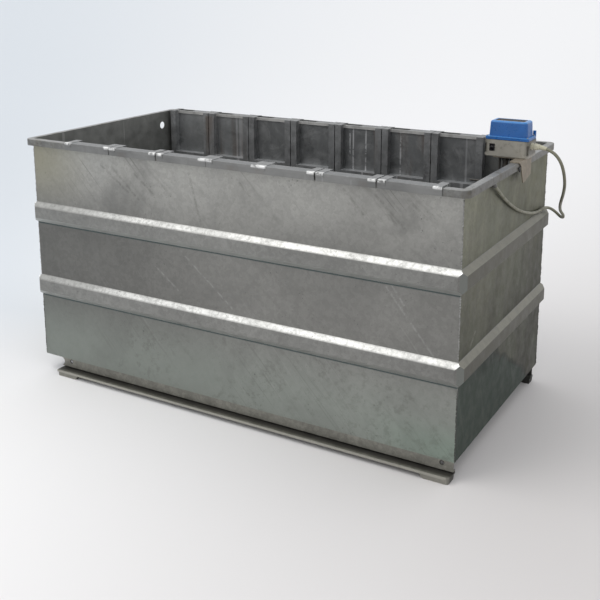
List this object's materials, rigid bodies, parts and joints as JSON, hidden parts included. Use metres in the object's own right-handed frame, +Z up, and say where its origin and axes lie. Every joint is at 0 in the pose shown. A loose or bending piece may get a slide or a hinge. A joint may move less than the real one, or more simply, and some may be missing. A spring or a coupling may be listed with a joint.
{
  "type": "livestock water trough",
  "caption": "Deep galvanised sheet-steel water tank on two rails, ribbed all round, lined with hook-on frames and heated by a rim-mounted control unit.",
  "frame": {"origin": "on the ground under the middle of the tank", "axes": "+X along the tank towards the control unit, +Y from the front wall to the back wall, +Z up"},
  "size_m": [1.7562, 0.8551, 0.983],
  "materials": {
    "zinc_long_wall": "hot-dip galvanised, dull grey with streaks and spangle",
    "zinc_end_wall": "hot-dip galvanised, dull brownish grey",
    "zinc_rim": "hot-dip galvanised, brighter along the bend",
    "zinc_rib": "hot-dip galvanised",
    "zinc_floor": "hot-dip galvanised, stained",
    "zinc_weld": "galvanised weld",
    "zinc_base": "hot-dip galvanised, dirty",
    "zinc_frame": "hot-dip galvanised, darker grey with white runs",
    "box_grey": "fine-grained moulded plastic",
    "lid_blue": "satin moulded plastic",
    "window_dark": "smoked flush panel",
    "seal_rubber": "cellular rubber",
    "screw_steel": "zinc plated",
    "switch_black": "black moulded plastic",
    "board_green": "coated circuit board",
    "component_black": "moulded component case",
    "terminal_grey": "moulded plastic",
    "bracket_zinc": "zinc plated sheet",
    "heater_sheath": "dark oxidised steel sheath",
    "gland_ivory": "moulded nylon",
    "relief_rubber": "grey-beige rubber",
    "lead_sheath": "grey-beige cable sheath",
    "elbow_grey": "moulded nylon"
  },
  "bodies": {
    "tank": {"back_base_rail": "zinc_base", "back_wall": "zinc_long_wall", "box_base": "box_grey", "box_lid": "lid_blue", "circuit_board": "board_green", "clamp_screws": "screw_steel", "corner_welds": "zinc_weld", "elbow_nut": "elbow_grey", "floor_bearers": "zinc_floor", "floor_pan": "zinc_floor", "foot_pads": "zinc_base", "front_base_rail": "zinc_base", "front_wall": "zinc_long_wall", "gland_body": "gland_ivory", "gland_nut": "gland_ivory", "heater_tubes": "heater_sheath", "left_end_wall": "zinc_end_wall", "level_probe": "heater_sheath", "lid_gasket": "seal_rubber", "lid_screws": "screw_steel", "lid_window": "window_dark", "lower_rib_back": "zinc_rib", "lower_rib_front": "zinc_rib", "lower_rib_left_end": "zinc_rib", "lower_rib_right_end": "zinc_rib", "power_relay": "component_black", "right_end_wall": "zinc_end_wall", "rim_back": "zinc_rim", "rim_bracket": "bracket_zinc", "rim_front": "zinc_rim", "rim_left_end": "zinc_rim", "rim_right_end": "zinc_rim", "strain_relief": "relief_rubber", "supply_lead": "lead_sheath", "switch_body": "switch_black", "terminal_block": "terminal_grey", "thermostat_probe": "heater_sheath", "transformer": "component_black", "upper_rib_back": "zinc_rib", "upper_rib_front": "zinc_rib", "upper_rib_left_end": "zinc_rib", "upper_rib_right_end": "zinc_rib", "wall_elbow": "elbow_grey"},
    "back_frame_1": {"back_frame_1": "zinc_frame"},
    "back_frame_2": {"back_frame_2": "zinc_frame"},
    "back_frame_3": {"back_frame_3": "zinc_frame"},
    "back_frame_4": {"back_frame_4": "zinc_frame"},
    "back_frame_5": {"back_frame_5": "zinc_frame"},
    "back_frame_6": {"back_frame_6": "zinc_frame"},
    "back_frame_7": {"back_frame_7": "zinc_frame"},
    "front_frame_1": {"front_frame_1": "zinc_frame"},
    "front_frame_2": {"front_frame_2": "zinc_frame"},
    "front_frame_3": {"front_frame_3": "zinc_frame"},
    "front_frame_4": {"front_frame_4": "zinc_frame"},
    "front_frame_5": {"front_frame_5": "zinc_frame"},
    "front_frame_6": {"front_frame_6": "zinc_frame"},
    "front_frame_7": {"front_frame_7": "zinc_frame"},
    "rocker": {"rocker": "switch_black"}
  },
  "joints": [
    {"name": "front_frame_1_lift", "type": "slide", "parent": "tank", "child": "front_frame_1", "axis": [0, 0, 1], "range_m": [0, 0.76]},
    {"name": "front_frame_2_lift", "type": "slide", "parent": "tank", "child": "front_frame_2", "axis": [0, 0, 1], "range_m": [0, 0.76]},
    {"name": "front_frame_3_lift", "type": "slide", "parent": "tank", "child": "front_frame_3", "axis": [0, 0, 1], "range_m": [0, 0.76]},
    {"name": "front_frame_4_lift", "type": "slide", "parent": "tank", "child": "front_frame_4", "axis": [0, 0, 1], "range_m": [0, 0.76]},
    {"name": "front_frame_5_lift", "type": "slide", "parent": "tank", "child": "front_frame_5", "axis": [0, 0, 1], "range_m": [0, 0.76]},
    {"name": "front_frame_6_lift", "type": "slide", "parent": "tank", "child": "front_frame_6", "axis": [0, 0, 1], "range_m": [0, 0.76]},
    {"name": "front_frame_7_lift", "type": "slide", "parent": "tank", "child": "front_frame_7", "axis": [0, 0, 1], "range_m": [0, 0.76]},
    {"name": "back_frame_1_lift", "type": "slide", "parent": "tank", "child": "back_frame_1", "axis": [0, 0, 1], "range_m": [0, 0.76]},
    {"name": "back_frame_2_lift", "type": "slide", "parent": "tank", "child": "back_frame_2", "axis": [0, 0, 1], "range_m": [0, 0.76]},
    {"name": "back_frame_3_lift", "type": "slide", "parent": "tank", "child": "back_frame_3", "axis": [0, 0, 1], "range_m": [0, 0.76]},
    {"name": "back_frame_4_lift", "type": "slide", "parent": "tank", "child": "back_frame_4", "axis": [0, 0, 1], "range_m": [0, 0.76]},
    {"name": "back_frame_5_lift", "type": "slide", "parent": "tank", "child": "back_frame_5", "axis": [0, 0, 1], "range_m": [0, 0.76]},
    {"name": "back_frame_6_lift", "type": "slide", "parent": "tank", "child": "back_frame_6", "axis": [0, 0, 1], "range_m": [0, 0.76]},
    {"name": "back_frame_7_lift", "type": "slide", "parent": "tank", "child": "back_frame_7", "axis": [0, 0, 1], "range_m": [0, 0.76]},
    {"name": "rocker_tilt", "type": "hinge", "parent": "tank", "child": "rocker", "pos_m": [0.7175, 0.0685, 0.9005], "axis": [-1, 0, 0], "range_deg": [0, 16]}
  ]
}
